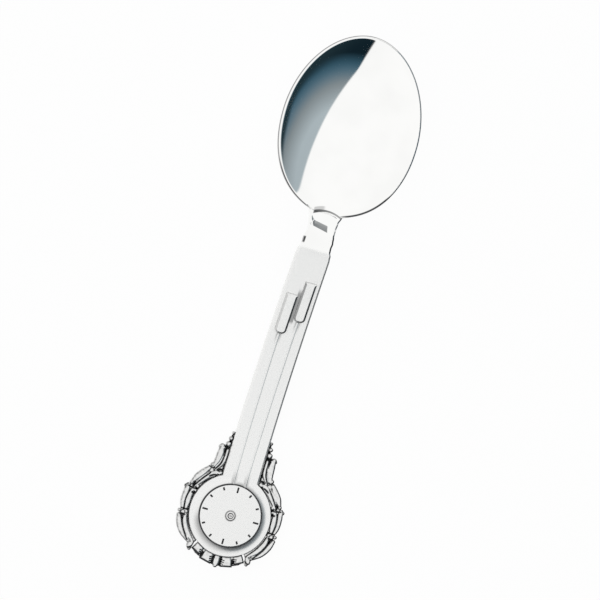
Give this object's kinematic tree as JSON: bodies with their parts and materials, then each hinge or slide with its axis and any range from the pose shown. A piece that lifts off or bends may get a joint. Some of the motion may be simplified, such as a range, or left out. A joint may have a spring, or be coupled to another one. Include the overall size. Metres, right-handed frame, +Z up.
{
  "type": "christening spoon",
  "caption": "Silver christening spoon: oval bowl, flat stem with clock weights on cords, and a round clock case in a rocaille frame.",
  "frame": {"origin": "under the middle of the spoon's box, on the surface that it rests on", "axes": "+Y along the spoon towards the tip of the bowl, +Z up out of the bowl, +X to the right with the bowl away from the viewer"},
  "size_m": [0.0384, 0.15, 0.013],
  "materials": {
    "polished_silver": "polished bowl and neck, satin stem and case",
    "satin_silver": "fine satin silver",
    "cast_silver": "cast silver, bright on the heights and blackened in the hollows",
    "hub_silver": "turned silver, darker in the grooves",
    "black_enamel": "black filling"
  },
  "bodies": {
    "spoon": {"spoon_body": "polished_silver", "scroll_left": "cast_silver", "scroll_right": "cast_silver", "crest": "cast_silver", "dial": "satin_silver", "hour_mark_01": "black_enamel", "hour_mark_02": "black_enamel", "hour_mark_03": "black_enamel", "hour_mark_04": "black_enamel", "hour_mark_05": "black_enamel", "hour_mark_06": "black_enamel", "hour_mark_07": "black_enamel", "hour_mark_08": "black_enamel", "hour_mark_09": "black_enamel", "hour_mark_10": "black_enamel", "hour_mark_11": "black_enamel", "hour_mark_12": "black_enamel", "weight_left": "satin_silver", "weight_right": "satin_silver", "cord_left": "satin_silver", "cord_right": "satin_silver", "pivot_bush": "hub_silver"},
    "pivot": {"hand_pivot": "hub_silver", "pivot_washer": "hub_silver"}
  },
  "joints": [
    {"name": "hand_pivot_turn", "type": "hinge", "parent": "spoon", "child": "pivot", "pos_m": [0, -0.06039, 0.003], "axis": [0, 0, 1], "continuous": true}
  ]
}
